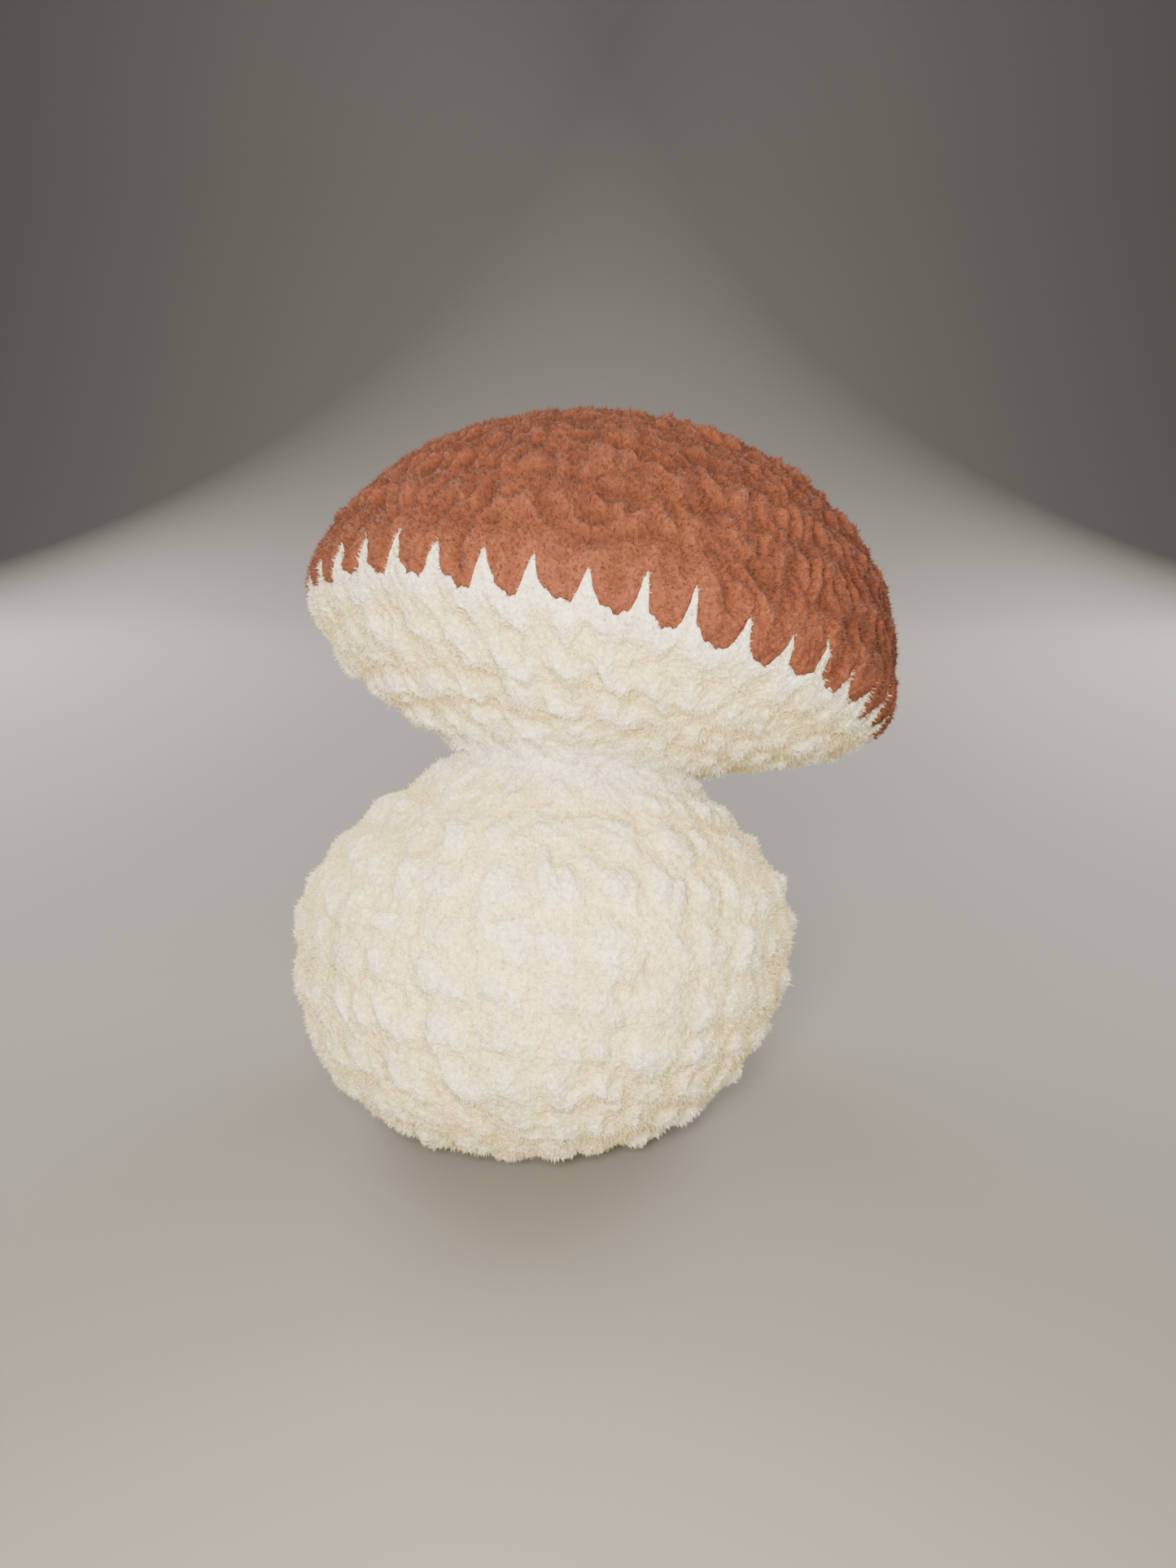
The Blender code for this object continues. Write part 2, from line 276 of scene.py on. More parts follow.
def axis_at(height):
    """Where the leaning axis is at each height, the sum of its small steps, with its direction."""
    fine = np.linspace(-0.01, CAP_WIDEST + DOME_HEIGHT + 0.01, 400)
    share = cap_share(fine)[:, None]
    degrees = np.array(BULB_LEAN) * (1 - share) + np.array(CAP_LEAN) * share
    direction = np.column_stack([np.tan(np.radians(degrees)), np.ones(len(fine))])
    direction /= np.linalg.norm(direction, axis=1)[:, None]
    run = direction.copy()
    run[:, :1] += np.tan(np.radians(BULB_SLANT)) * (1 - share)
    steps = np.diff(fine)[:, None] * (run[1:] + run[:-1]) / 2
    place = np.vstack([np.zeros(3), np.cumsum(steps, axis=0)])
    place -= [np.interp(0, fine, place[:, k]) for k in range(3)]
    parts = [np.interp(height, fine, values) for values in (*place.T, *direction.T)]
    return np.stack(parts[:3], axis=-1), np.stack(parts[3:], axis=-1)


def lean(points):
    """Upright points set on the leaning axis: the axis at their height, plus x to its side and y to its
    back.

    The cap's middle is shifted to the side, and its brim drops by its distance to that side.
    """
    height = points[:, 2]
    place, direction = axis_at(height)
    side = np.cross([0.0, 1.0, 0.0], direction)
    side /= np.linalg.norm(side, axis=1)[:, None]
    back = np.cross(direction, side)
    dome = np.clip((height - CAP_WIDEST) / DOME_HEIGHT, 0, 1)
    across = points[:, 0] + CAP_SHIFT * cap_share(height) + DOME_SHIFT * dome
    near_brim = np.exp(-((height - COLOUR_CHANGE) / BRIM_REACH) ** 2)
    drop = BRIM_DROP * near_brim * points[:, 0] / CAP_RADIUS
    out = place + across[:, None] * side + points[:, 1:2] * back - drop[:, None] * direction
    out[:, 2] -= FOOT_PRESS
    return out


def foot_centre():
    """Centre of the patch where the smooth skin, leaning, would pass below the floor: the middle of its
    box.
    """
    angles, along = np.meshgrid(np.linspace(0, TURN, 180, endpoint=False), np.linspace(0, BULB_RADIUS, 240))
    skin = lean(upright(angles.ravel(), along.ravel(), 0.0))
    low = skin[skin[:, 2] < 0, :2]
    return (low.min(axis=0) + low.max(axis=0)) / 2


FOOT = foot_centre()


def placed(angles, along, lift):
    """Points of the real, leaning surface. Rounds lie lower on the +X side by the tilt, and the foot is
    flat.

    The height is pressed on the floor by softness * log(1 + e to the (height / softness)).
    """
    along = along - ROUND_TILT * np.cos(angles) * np.interp(along, ALONG, RADII) / CAP_RADIUS
    points = lean(upright(angles, along, lift))
    points[:, :2] -= FOOT
    points[:, 2] = FOOT_SOFTNESS * np.logaddexp(0, points[:, 2] / FOOT_SOFTNESS)
    return points


def waves(points, wavelength, seed, count=28):
    """Smooth noise of about unit size: the sum of cosines along random directions, all near one
    wavelength.
    """
    random = np.random.default_rng(seed)
    directions = random.normal(size=(count, 3))
    directions /= np.linalg.norm(directions, axis=1)[:, None]
    pitch = TURN / (wavelength * random.uniform(0.75, 1.35, count))
    phases = random.uniform(0, TURN, count)
    return np.cos(points @ (directions * pitch[:, None]).T + phases).sum(axis=1) * np.sqrt(2 / count)


def zigzag(angles):
    """Distance along the outline of the line between the colours: the drawn zigzag, once for every
    stitch.

    Every spike and lobe is a little its own size and sways a little, and three cosines make the line
    ragged.
    """
    random = np.random.default_rng(11)
    tips = random.uniform(0.70, 1.18, EDGE_STITCHES)
    lobes = random.uniform(0.55, 1.25, EDGE_STITCHES)
    sway = random.uniform(-0.09, 0.09, EDGE_STITCHES)
    phase = (angles - FIRST_GROOVE) * EDGE_STITCHES / TURN
    groove = np.round(phase).astype(int) % EDGE_STITCHES
    phase = phase + sway[groove] * np.cos(np.pi * (phase - np.round(phase)))
    place = np.mod(phase + 0.05, 1.0) - 0.05
    line = np.interp(place, ZIGZAG[:, 0], ZIGZAG[:, 1])
    stitch = np.floor(phase).astype(int) % EDGE_STITCHES
    line = np.where(line > 0, line * tips[groove], line * lobes[stitch])
    ragged = 0.35 * np.cos(angles * 229 + 1) * np.cos(angles * 91) + 0.30 * np.cos(angles * 147 + 2)
    return CHANGE + (line + ragged) * MM


def edge_distance(angles, along):
    """Millimetres from the line between the colours: the least distance to its samples near each point.
    """
    turn = np.arange(EDGE_STITCHES * LINE_SAMPLES) * TURN / (EDGE_STITCHES * LINE_SAMPLES)
    line = zigzag(turn)
    nearest = np.round(angles / TURN * len(turn)).astype(int)
    index = nearest[:, None] + np.arange(-LINE_SEARCH, LINE_SEARCH + 1)
    across = (angles[:, None] - index * TURN / len(turn)) * np.interp(CHANGE, ALONG, RADII)
    return np.hypot(across, along[:, None] - line[index % len(turn)]).min(axis=1) / MM


def stitch_relief(angles, along, warp, bounds, counts, blobs, seed):
    """Millimetres that the stitches stand out: a soft maximum over the blobs of each stitch and its
    neighbours.

    A blob is height * (1 - (across / half width)^2 - (up / half length)^2) in its own turned coordinates.
    Every stitch has its own small shift, turn, size and height. The warp bends the whole pattern by two
    distances.
    """
    counts = np.array(counts)
    rounds = len(counts)
    middles, tall = (bounds[1:] + bounds[:-1]) / 2, np.diff(bounds)
    drifts = DRIFT * (CHANGE - middles)
    own = np.random.default_rng(seed).normal(size=(rounds, counts.max(), 5))
    around = TURN * np.interp(along, ALONG, RADII) / MM
    along = along + warp[1]
    here = np.clip(np.searchsorted(bounds, along, side="right") - 1, 0, rounds - 1)
    total = np.zeros(len(angles))
    for up in (-1, 0, 1):
        number = np.clip(here + up, 0, rounds - 1)
        count = counts[number]
        width = around / count
        bend = warp[0] / MM / np.maximum(width, LEAST_WIDTH)
        phase = np.mod((angles - FIRST_GROOVE) * count / TURN - drifts[number] + bend, count)
        up_from = (along - middles[number]) / tall[number] * ROUND_HEIGHT + FAR_AWAY * (here + up != number)
        for sideways in (-1, 0, 1):
            stitch = np.floor(phase).astype(int) + sideways
            shift = own[number, np.mod(stitch, count)]
            x = (phase - stitch - 0.5) * width + UNEVEN_ACROSS * shift[:, 0]
            y = up_from + UNEVEN_UP * shift[:, 1]
            size = 1 + UNEVEN_SIZE * shift[:, 2]
            wide = np.clip(width, *STITCH_WIDTHS) / STITCH_WIDTH
            for right, over, half_width, half_length, turned, height in blobs:
                turn = np.radians(turned + UNEVEN_TURN * shift[:, 4])
                dx, dy = x - right * wide, y - over
                across = (dx * np.cos(turn) + dy * np.sin(turn)) / (half_width * wide * size)
                length = (dy * np.cos(turn) - dx * np.sin(turn)) / (half_length * size)
                rise = np.maximum(1 - across**2 - length**2, BLOB_LOWEST)
                total += np.exp(CRISP * (height * (1 + UNEVEN_HEIGHT * shift[:, 3]) * rise))
    return np.log(total + np.exp(GROUND * CRISP)) / CRISP


def between(first, second, a, b):
    """Triangles between two rings of points given by their angles, walked round together in order of
    angle.
    """
    n, m = len(first), len(second)
    ends = np.concatenate([first[1:], first[:1] + TURN, second[1:], second[:1] + TURN])
    steps_first = np.argsort(ends, kind="stable") < n
    i = np.cumsum(steps_first) - steps_first
    j = np.cumsum(~steps_first) - ~steps_first
    ahead = np.where(steps_first, a + (i + 1) % n, b + (j + 1) % m)
    return np.column_stack([a + i % n, ahead, b + j % m])


def columns(count):
    """Evenly spaced angles in rising order, with one of them on the first groove."""
    step = TURN / count
    return np.mod(FIRST_GROOVE, step) + step * np.arange(count)


def yarn_piece(name, points, faces, finish, corners, groove):
    """A piece at the world origin, with its map by corner and how deep in a groove each of its points lies,
    which sets its painted shade.
    """
    mesh = bpy.data.meshes.new(name)
    mesh.from_pydata(points, [], faces)
    mesh.materials.append(finish)
    layer = mesh.uv_layers.new(name="OFBake")
    layer.uv.foreach_set("vector", corners.astype(np.float32).ravel())
    depth = mesh.attributes.new("groove", "FLOAT", "POINT")
    depth.data.foreach_set("value", groove.astype(np.float32))
    piece = bpy.data.objects.new(name, mesh)
    bpy.context.scene.collection.objects.link(piece)
    return piece


def skin_mesh(name, rings, lift, finish):
    """A closed-up surface through rings of (angles, along, tuck), the first or last a pole of one point.

    A point is the surface at its angle and distance, lifted. A pole is joined to its ring by a fan.
    """
    angles = np.concatenate([ring[0] for ring in rings])
    along = np.concatenate([ring[1] for ring in rings])
    tuck = np.concatenate([ring[2] for ring in rings])
    starts = np.cumsum([0] + [len(ring[0]) for ring in rings])
    faces = []
    for k, (low, high) in enumerate(zip(rings[:-1], rings[1:])):
        if len(low[0]) == 1 or len(high[0]) == 1:
            ring, pole = (high, 0) if len(low[0]) == 1 else (low, 1)
            at = starts[k + 1 - pole] + np.arange(len(ring[0]))
            after = starts[k + 1 - pole] + (np.arange(len(ring[0])) + 1) % len(ring[0])
            tip = np.full(len(at), starts[k + pole])
            faces.append(np.column_stack([after, at, tip] if pole == 0 else [at, after, tip]))
        else:
            faces.append(between(low[0], high[0], starts[k], starts[k + 1]))
    faces = np.vstack(faces)
    lifts, groove = lift(angles, along, tuck)
    # The map lies flat as angle by distance, and its seam is where the angle comes round again
    corner = faces.ravel()
    u = (angles / TURN)[corner].reshape(-1, 3)
    u = np.where((u.max(axis=1) > 0.75)[:, None] & (u < 0.25), u + 1, u)
    way = along + tuck
    v = ((way - way.min()) / (way.max() - way.min()))[corner]
    corners = np.column_stack([u.ravel() * MAP_WIDTH + MAP_MARGIN, v * MAP_HEIGHT + MAP_MARGIN])
    piece = yarn_piece(name, placed(angles, along, lifts), faces, finish, corners, groove)
    piece.data.shade_smooth()
    return piece


def ring_plan(fineness):
    """How many rings the round at the line gets, and how far apart points are: the stitch's width by
    fineness.
    """
    around = TURN * np.interp(CHANGE, ALONG, RADII)
    return round(fineness * RINGS_AT_EDGE), around / (EDGE_STITCHES * fineness)


def even_rings(bounds, spacing):
    """Plain rings through these rounds, with their points as far apart as the rings are."""
    rings = []
    for low, high in zip(bounds[:-1], bounds[1:]):
        steps = round((high - low) / spacing)
        count = max(LEAST_POINTS, round(TURN * np.interp((low + high) / 2, ALONG, RADII) / spacing))
        for part in range(steps):
            along = low + (high - low) * part / steps
            if along > 0:
                rings.append((columns(count), np.full(count, along), np.zeros(count)))
    return rings


def edge_rings(start, side, reach):
    """Rings that turn from a level one into the zigzag, and then go inwards below it, as (angles, along,
    tuck).

    Each is start + (line - start) * its part of the reach. Both skins have the same points along the
    line.
    """
    angles = columns(EDGE_STITCHES * BROWN_FINENESS)
    line = zigzag(angles) + side * EDGE_GAP * MM
    rings = [(angles, start + (line - start) * part, np.zeros(len(angles))) for part in reach]
    return rings + [(angles, line, np.full(len(angles), deep * MM)) for deep in EDGE_TUCKS]


def cream_rings():
    """The cream skin from its lower pole to the zigzag and in under it."""
    steps, spacing = ring_plan(CREAM_FINENESS)
    rings = [(np.zeros(1), np.zeros(1), np.zeros(1))] + even_rings(CREAM_BOUNDS[:-1], spacing)
    return rings + edge_rings(CREAM_BOUNDS[-2], -1, np.arange(steps + 1) / steps)


def brown_rings():
    """The brown skin from in under the zigzag up to its top pole."""
    steps, spacing = ring_plan(BROWN_FINENESS)
    rings = edge_rings(BROWN_BOUNDS[1], 1, np.arange(1, steps + 1) / steps)[::-1]
    rings += even_rings(BROWN_BOUNDS[1:], spacing)
    return rings + [(np.zeros(1), np.full(1, LENGTH), np.zeros(1))]


def ridged(points, wavelength, seed):
    """Rounded tufts with narrow valleys: 0.62 - the 0.85 power of the size of smooth noise, about 0 on
    average.
    """
    return 0.62 - np.abs(waves(points, wavelength * 2, seed, PILE_WAVES)) ** 0.85


def skin_lift(bounds, counts, blobs, seed, settle, pile, at_edge):
    """The lift of one skin's points in metres, and how deep each lies in a groove from 0 to 1, which sets
    its painted shade.

    The stitches' relief on a pattern bent by slow noise, plus the pile's clumps and tufts, each noise of
    one size. Near the line between the colours it turns to the edge's own height, and rounds down over
    the edge. The pile gives each size's millimetres across and high. The edge gives the body's height
    over the skin and how far it reaches, and how far its rim drops and over what distance, in
    millimetres.
    """
    body, body_reach, drop, drop_reach = at_edge

    def lift(angles, along, tuck):
        smooth = upright(angles, along, np.zeros(len(angles)))
        warp = [
            sum(size * MM * waves(smooth, wavelength * MM, seed + 5 + 2 * way + number)
                for number, (size, wavelength) in enumerate(pair))
            for way, pair in enumerate(BENDS)
        ]
        relief = stitch_relief(angles, along, warp, bounds, counts, blobs, seed) + settle
        near = np.abs(along - CHANGE) < LINE_NEAR
        distance = np.full(len(angles), LINE_FAR)
        distance[near] = edge_distance(angles[near], along[near])
        share = np.exp(-(distance / body_reach) ** 2)
        relief = relief * (1 - share) + body * share
        fine = GRAIN * np.random.default_rng(seed).normal(size=len(angles))
        for number, (wavelength, height) in enumerate(pile):
            fine += height * ridged(smooth, wavelength * MM, seed + 20 + number)
        neck = np.exp(-((along - NECK_ALONG) / NECK_REACH) ** 2)
        neck = neck * (NECK_AT_SIDES - NECK_TO_FRONT * np.sin(angles))
        relief = relief * (1 - NECK_SMOOTHS * neck) + NECK_FILL * neck
        height = relief + fine - drop * np.exp(-(distance / drop_reach) ** 2)
        # How deep a point lies in a groove, from 0 to 1, by which the material paints shade into the
        # hollows, yellower on the cream as a painted glow
        groove = np.clip((PAINTED_SHADE_TOP - relief - fine) / PAINTED_SHADE_DEPTH, 0, 1)
        return height * MM - tuck, groove * (1 - np.exp(-(distance / PAINTED_SHADE_FADE) ** 2))

    return lift


def tuft_middles(points):
    """For each point, the nearest of one random point in each cell of a cubic grid with a tuft's width as
    pitch.

    A cell's random point is the fraction of a large multiple of the sine of the cell's place, mixed by a
    matrix.
    """
    own = np.floor(points / TUFT)
    best, least = points.copy(), np.full(len(points), 1e9)
    for step in np.ndindex(3, 3, 3):
        cell = own + np.array(step) - 1
        mixed = np.sin(cell @ SCATTER) * SCATTER_SIZE
        middle = (cell + mixed - np.floor(mixed)) * TUFT
        away = ((middle - points) ** 2).sum(axis=1)
        nearer = away < least
        best[nearer], least[nearer] = middle[nearer], away[nearer]
    return best


def unit(vectors):
    """Vectors over their own lengths."""
    return vectors / np.maximum(np.linalg.norm(vectors, axis=1), 1e-12)[:, None]


def pile_mesh(name, low, high, side, count, lift, finish, seed):
    """Cut pile: narrow triangles rooted in the skin, even over its area, their tips drawn together into
    tufts.

    A tip is the root + the length along the skin's normal + most of the way over to the middle of its
    tuft + a random lean, and the blades are shorter towards the tuft's rim. Only roots on this side of
    the colours' line are kept.
    """
    random = np.random.default_rng(seed)
    table = np.linspace(low, high, 4000)
    share = np.cumsum(np.interp(table, ALONG, RADII))
    along = np.interp(random.uniform(0, 1, count), share / share[-1], table)
    angles = random.uniform(0, TURN, count)
    kept = side * (along - zigzag(angles)) > -OVER_THE_LINE
    angles, along = angles[kept], along[kept]
    height, groove = lift(angles, along, np.zeros(len(angles)))
    root = placed(angles, along, height)
    # The normal stands on two small steps over the surface
    step = 0.2 * MM
    around = placed(angles + step / np.maximum(np.interp(along, ALONG, RADII), step), along, height) - root
    upward = placed(angles, along + step, height) - root
    normal = unit(np.cross(around, upward))
    over = tuft_middles(root) - root
    over -= (over * normal).sum(axis=1)[:, None] * normal
    rim = np.linalg.norm(over, axis=1)[:, None] / TUFT
    reach = PILE_LENGTH * random.uniform(*BLADE_LENGTHS, len(root))[:, None]
    reach = reach * (AT_MIDDLE - LOST_AT_RIM * np.minimum(rim, 1))
    stray = random.normal(size=(len(root), 3)) * reach
    tip = root + normal * reach + TO_MIDDLE * over + STRAY * stray
    # Nothing goes through what it stands on
    tip[:, 2] = np.maximum(tip[:, 2], OVER_THE_FLOOR)
    wide = 0.5 * BLADE * unit(np.cross(tip - root, random.normal(size=(len(root), 3))))
    sunk = root - ROOT_DEPTH * normal
    sunk[:, 2] = np.maximum(sunk[:, 2], 0)
    points = np.stack([sunk - wide, sunk + wide, tip], axis=1)
    # Each blade lies on the map where its root does
    u = np.clip(angles / TURN, MAP_MARGIN, 1 - MAP_MARGIN)
    v = np.clip((along - low) / (high - low), MAP_MARGIN, 1 - MAP_MARGIN)
    half, tall = BLADE_ON_MAP
    corners = np.stack([u - half, v, u + half, v, u, v + tall], axis=1)
    # Painted shade: a blade is darker at its foot and at its tuft's rim, and lighter at its tip
    rim_shade = RIM_SHADE * rim[:, 0]
    foot, top = groove + FOOT_SHADE + rim_shade, groove + TIP_SHADE + rim_shade
    depth = np.stack([foot, foot, top], axis=1).ravel()
    faces = np.arange(len(root) * 3).reshape(-1, 3)
    return yarn_piece(name, points.reshape(-1, 3), faces, finish, corners, depth)


def linear(hex_colour):
    """Linear RGBA of an sRGB hex colour: v / 12.92 up to 0.04045, else the 2.4 power of (v + 0.055) /
    1.055.
    """
    values = np.array([int(hex_colour[k:k + 2], 16) for k in (1, 3, 5)]) / 255
    return (*np.where(values <= 0.04045, values / 12.92, ((values + 0.055) / 1.055) ** 2.4), 1.0)


def node(tree, kind, inputs=None, **settings):
    """Adds a node with its settings. Each input is a value, or a socket that is linked to it."""
    made = tree.nodes.new(kind)
    for name, value in settings.items():
        setattr(made, name, value)
    for name, value in (inputs or {}).items():
        if isinstance(value, bpy.types.NodeSocket):
            tree.links.new(value, made.inputs[name])
        else:
            made.inputs[name].default_value = value
    return made


def chenille(name, crest, painted_hollow, painted_gap_shade, gap_shade_and_grain, sheen, glow, glow_colour):
    """Polyester chenille yarn: short cut pile twisted round a core, then crocheted.

    It is matt and granular. Its hollows are painted with shade, yellower on the cream as a painted glow,
    and the gaps between its tufts are darker with painted shade.
    """
    finish = bpy.data.materials.new(name)
    finish.use_nodes = True
    tree = finish.node_tree
    shader = tree.nodes["Principled BSDF"]
    place = node(tree, "ShaderNodeTexCoord").outputs["Object"]
    groove = node(tree, "ShaderNodeAttribute", attribute_name="groove").outputs["Fac"]
    shake = node(tree, "ShaderNodeTexNoise", {"Vector": place, "Scale": SHAKES, "Detail": 1.0})
    shaken = node(tree, "ShaderNodeVectorMath", {0: shake.outputs["Color"], 1: (1.0 * MM,) * 3, 2: place},
                  operation="MULTIPLY_ADD")
    tufts = node(tree, "ShaderNodeTexVoronoi", {"Vector": shaken.outputs["Vector"], "Scale": TUFTS})
    fibres = node(tree, "ShaderNodeTexNoise",
                  {"Vector": place, "Scale": FIBRES, "Detail": 2.0, "Roughness": 0.7})
    patches = node(tree, "ShaderNodeTexNoise",
                   {"Vector": place, "Scale": PATCHES, "Detail": 3.0, "Roughness": 0.55})
    # Painted shade in the hollows: the deeper in a groove, the more of the hollow colour, which on the cream
    # is yellower as a painted glow
    deep = node(tree, "ShaderNodeMapRange", {"Value": groove, "From Min": 0.12, "From Max": 0.80})
    colour = node(tree, "ShaderNodeMix",
                  {"Factor": deep.outputs["Result"], "A": linear(crest), "B": linear(painted_hollow)},
                  data_type="RGBA")
    # Painted shade in the gaps between the tufts, by the distance from a tuft's middle; the same share also
    # sets how strong the fibres' grain is
    painted_tuft_gap_shade = node(tree, "ShaderNodeMapRange", {"Value": tufts.outputs["Distance"], "From Min": 0.22,
                                                      "From Max": 0.75, "To Max": gap_shade_and_grain})
    colour = node(tree, "ShaderNodeMix", {"Factor": painted_tuft_gap_shade.outputs["Result"],
                                          "A": colour.outputs["Result"], "B": linear(painted_gap_shade)}, data_type="RGBA")
    wash = node(tree, "ShaderNodeMapRange", {"Value": patches.outputs["Fac"], "From Min": 0.3,
                                             "From Max": 0.7, "To Min": 0.91, "To Max": 1.06})
    grain = node(tree, "ShaderNodeMapRange", {"Value": fibres.outputs["Fac"], "From Min": 0.3,
                                              "From Max": 0.7, "To Min": 1 - gap_shade_and_grain / 3,
                                              "To Max": 1 + gap_shade_and_grain / 4})
    shade = node(tree, "ShaderNodeMath", {0: wash.outputs["Result"], 1: grain.outputs["Result"]},
                 operation="MULTIPLY")
    colour = node(tree, "ShaderNodeVectorMath", {0: colour.outputs["Result"], 1: shade.outputs["Value"]},
                  operation="MULTIPLY")
    tree.links.new(colour.outputs["Vector"], shader.inputs["Base Color"])
    height = node(tree, "ShaderNodeMath", {0: fibres.outputs["Fac"], 1: 0.6, 2: tufts.outputs["Distance"]},
                  operation="MULTIPLY_ADD")
    bump = node(tree, "ShaderNodeBump",
                {"Height": height.outputs["Value"], "Strength": 1.0, "Distance": 0.35 * MM}, invert=True)
    tree.links.new(bump.outputs["Normal"], shader.inputs["Normal"])
    shader.inputs["Roughness"].default_value = 0.95
    shader.inputs["Specular IOR Level"].default_value = 0.12
    shader.inputs["Sheen Weight"].default_value = sheen
    # Light wanders a millimetre or two through the pile
    shader.inputs["Subsurface Weight"].default_value = glow
    shader.inputs["Subsurface Radius"].default_value = glow_colour
    shader.inputs["Subsurface Scale"].default_value = 2.0 * MM
    return finish


def fibrefill():
    """Polyester fibrefill: fine crimped white fibres in loose clouds, dull, with painted shade that makes it
    a little greyer in the folds.
    """
    finish = bpy.data.materials.new("polyester_fibrefill")
    finish.use_nodes = True
    tree = finish.node_tree
    shader = tree.nodes["Principled BSDF"]
    place = node(tree, "ShaderNodeTexCoord").outputs["Object"]
    cloud = node(tree, "ShaderNodeTexNoise",
                 {"Vector": place, "Scale": CLOUDS, "Detail": 6.0, "Roughness": 0.7})
    # Painted shade: greyer where the clouds' bump is low, in the folds
    ramp = node(tree, "ShaderNodeMapRange",
                {"Value": cloud.outputs["Fac"], "From Min": 0.3, "From Max": 0.6})
    colour = node(tree, "ShaderNodeMix", {"Factor": ramp.outputs["Result"], "A": linear("#DEDEDA"),
                                          "B": linear("#F8F8F5")}, data_type="RGBA")
    tree.links.new(colour.outputs["Result"], shader.inputs["Base Color"])
    bump = node(tree, "ShaderNodeBump",
                {"Height": cloud.outputs["Fac"], "Strength": 0.8, "Distance": 2.0 * MM})
    tree.links.new(bump.outputs["Normal"], shader.inputs["Normal"])
    shader.inputs["Roughness"].default_value = 1.0
    return finish


def background_paper():
    """Grey background paper: uncoated card, even and dull, so that nothing on it draws the eye."""
    finish = bpy.data.materials.new("grey_background_paper")
    finish.use_nodes = True
    shader = finish.node_tree.nodes["Principled BSDF"]
    shader.inputs["Base Color"].default_value = linear("#6F6C69")
    shader.inputs["Roughness"].default_value = 0.8
    return finish


def sweep():
    """The floor and backdrop: one strip, flat, then a quarter turn up, then upright, the same all the way
    across.

    It lies a fifth of a millimetre under the mushroom, so that the two never share a plane.
    """
    front, turn_starts, turn_radius, top, half_width = -2.0, 0.9, 0.5, 2.5, 3.0
    turn = np.linspace(0, np.pi / 2, 24)
    back = turn_starts + turn_radius
    deep = np.concatenate([[front, 0.0], turn_starts + turn_radius * np.sin(turn), [back]])
    high = np.concatenate([[0.0, 0.0], turn_radius - turn_radius * np.cos(turn), [top]])
    x, k = np.meshgrid([-half_width, half_width], np.arange(len(deep)))
    points = np.column_stack([x.ravel(), deep[k.ravel()], high[k.ravel()] - 0.2 * MM])
    faces = np.arange(len(deep) - 1)[:, None] * 2 + np.array([[0, 1, 3, 2]])
    mesh = bpy.data.meshes.new("floor")
    mesh.from_pydata(points, [], faces)
    mesh.shade_smooth()
    mesh.materials.append(background_paper())
    floor = bpy.data.objects.new("floor", mesh)
    bpy.context.scene.collection.objects.link(floor)
    return floor


def area_light(name, place, target, size, watts, colour):
    """A square soft light that faces the target: turned up from straight down, then round to it."""
    data = bpy.data.lights.new(name, "AREA")
    data.size = size
    data.energy = watts
    data.color = linear(colour)[:3]
    lamp = bpy.data.objects.new(name, data)
    lamp.location = place
    away = np.array(place) - np.array(target)
    tilt, heading = np.arctan2(np.hypot(away[0], away[1]), away[2]), np.arctan2(away[0], -away[1])
    lamp.rotation_euler = (tilt, 0, heading)
    bpy.context.scene.collection.objects.link(lamp)


def light_room():
    """A small warm light close to the lens, soft ones over and behind the mushroom, and a dim even room.
    """
    middle = (0.0, 0.02, 0.08)
    area_light("flash", (-0.01, -0.29, 0.18), (0.01, 0.0, 0.09), 0.08, 3.0, "#FFF5E2")
    area_light("ceiling", (-0.3, 0.1, 1.1), (0.0, 0.0, 0.05), 0.9, 0.6, "#FFFFFF")
    area_light("backdrop", (0.0, 0.55, 0.95), (0.0, 1.4, 0.35), 0.7, 4.0, "#FFFFFF")
    # Large ones for the sides and the back, which the small one doesn't reach
    area_light("back_left", (-0.70, 0.72, 0.55), middle, 0.8, 24.0, "#FFFAF2")
    area_light("back_right", (0.74, 0.68, 0.55), middle, 0.8, 24.0, "#FFFAF2")
    world = bpy.data.worlds.new("room")
    world.use_nodes = True
    world.node_tree.nodes["Background"].inputs["Color"].default_value = linear("#F4F2EE")
    world.node_tree.nodes["Background"].inputs["Strength"].default_value = 0.22
    bpy.context.scene.world = world


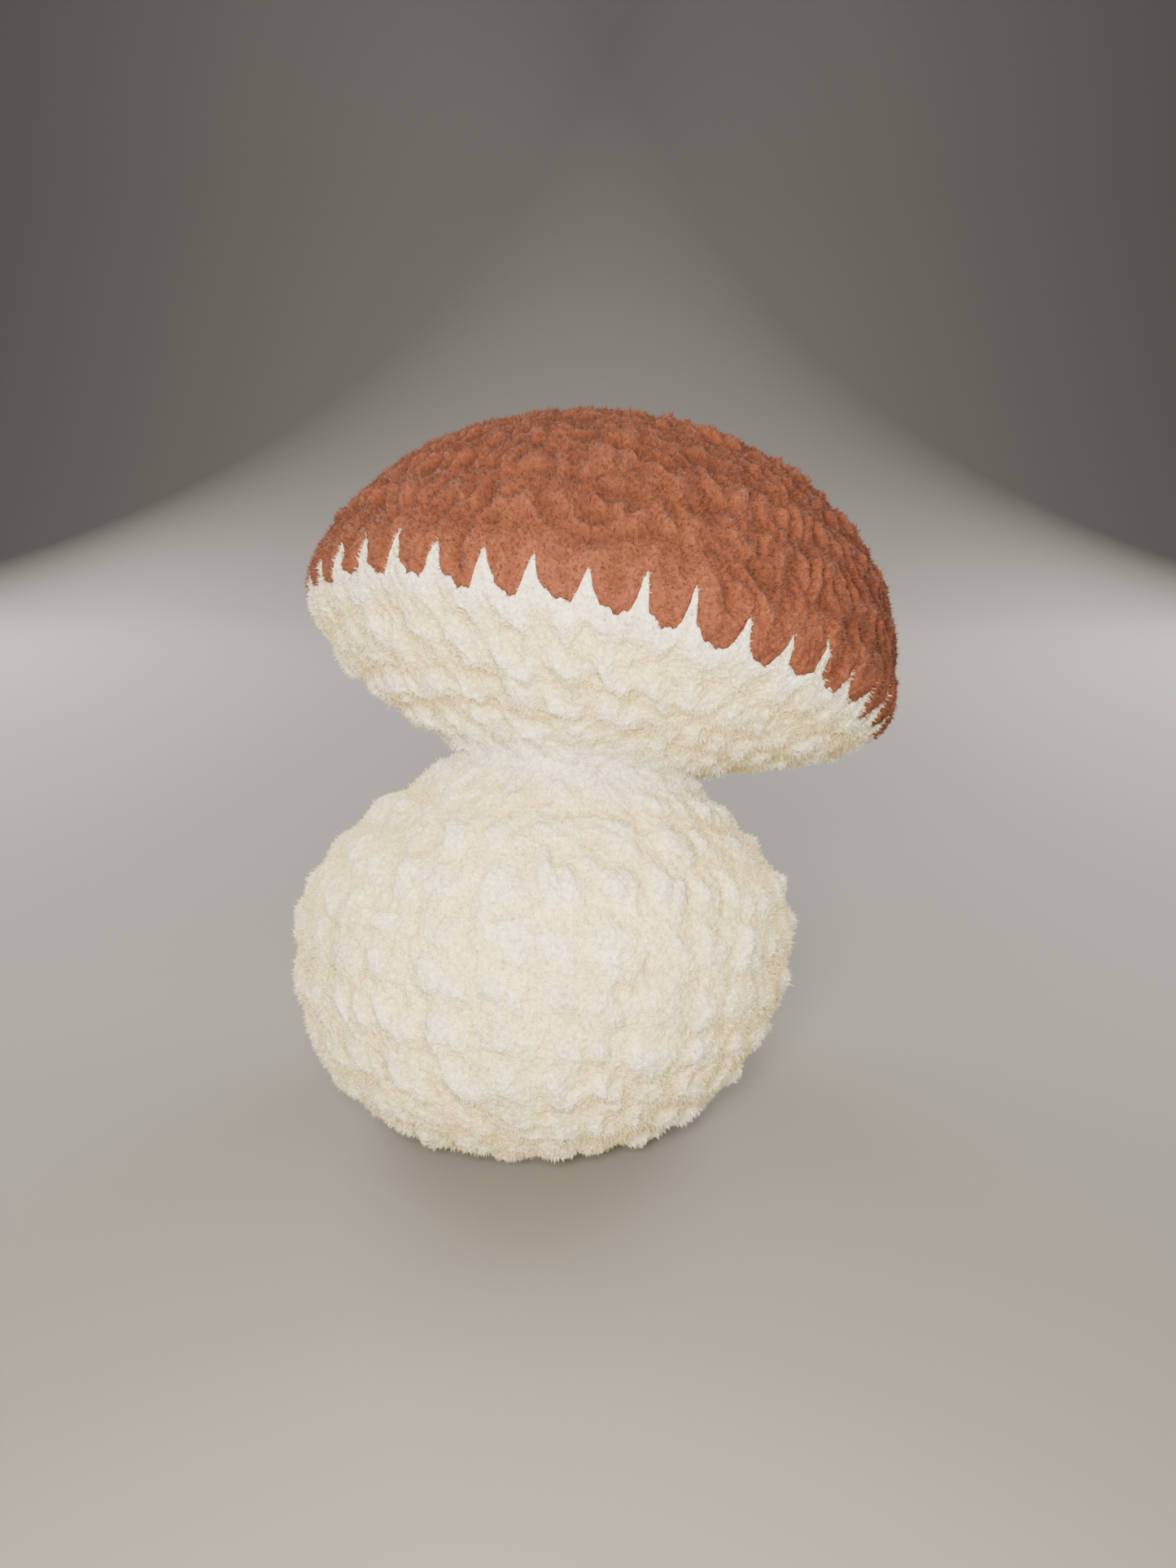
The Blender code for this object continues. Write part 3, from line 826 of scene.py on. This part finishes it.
def camera():
    """The photograph's camera: close up with a wide view, 15.4 degrees down, and 153 mm over the floor.
    """
    data = bpy.data.cameras.new("camera")
    data.sensor_fit = "VERTICAL"
    data.sensor_height = 36.0
    data.lens = 27.03
    data.clip_start = 0.01
    eye = bpy.data.objects.new("camera", data)
    eye.location = (0.0122, -0.268, 0.1527)
    eye.rotation_euler = (np.radians(90 - 15.4), 0, 0)
    bpy.context.scene.collection.objects.link(eye)
    bpy.context.scene.camera = eye


def dress():
    """Both skins, with pile on them, in place of the part's own, and the filling in its own material."""
    # The hollow and gap colours are painted shade, and the cream's hollow is yellower as a painted glow
    cream = chenille("cream_polyester_chenille", crest="#F0EBDA", painted_hollow="#EEDFAA", painted_gap_shade="#B3A57C",
                     gap_shade_and_grain=0.45, sheen=0.0, glow=0.12, glow_colour=(1.0, 0.8, 0.45))
    brown = chenille("terracotta_polyester_chenille", crest="#784431", painted_hollow="#5B3223", painted_gap_shade="#532E21",
                     gap_shade_and_grain=0.42, sheen=0.05, glow=0.1, glow_colour=(1.0, 0.5, 0.35))
    stem_lift = skin_lift(CREAM_BOUNDS, CREAM_STITCHES, BULB_STITCH, 21, settle=-1.75,
                          pile=((4.2, 0.34), (2.6, 0.24), (1.7, 0.14)), at_edge=(0.1, 3.2, 0.3, 0.6))
    cap_lift = skin_lift(LOWERED_BOUNDS, BROWN_STITCHES, CAP_STITCH, 22, settle=-1.5,
                         pile=((3.7, 0.60), (2.4, 0.26), (1.4, 0.16)), at_edge=(0.5, 4.0, 0.8, 1.0))
    stem = skin_mesh("cream_skin", cream_rings(), stem_lift, cream)
    cap = skin_mesh("brown_skin", brown_rings(), cap_lift, brown)
    bulb_pile = pile_mesh("cream_bulb_pile", 0.0, WAIST, -1, 190000, stem_lift, cream, 31)
    under_pile = pile_mesh("cream_underside_pile", WAIST, CHANGE + SPIKE_REACH, -1, 150000, stem_lift, cream,
                           32)
    cap_pile = pile_mesh("brown_cap_pile", CHANGE - LOBE_REACH, LENGTH, 1, 195000, cap_lift, brown, 33)
    for piece, cad, slot in (
        (stem, "underside_and_stem", "cream_chenille"),
        (bulb_pile, "underside_and_stem", "cream_chenille"),
        (under_pile, "underside_and_stem", "cream_chenille"),
        (cap, "cap_top", "brown_chenille"),
        (cap_pile, "cap_top", "brown_chenille"),
    ):
        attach(piece, "root")
        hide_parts(cad)

    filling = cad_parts["stuffing"]
    filling.data.materials.clear()
    filling.data.materials.append(fibrefill())


dress()
sweep()
light_room()
camera()
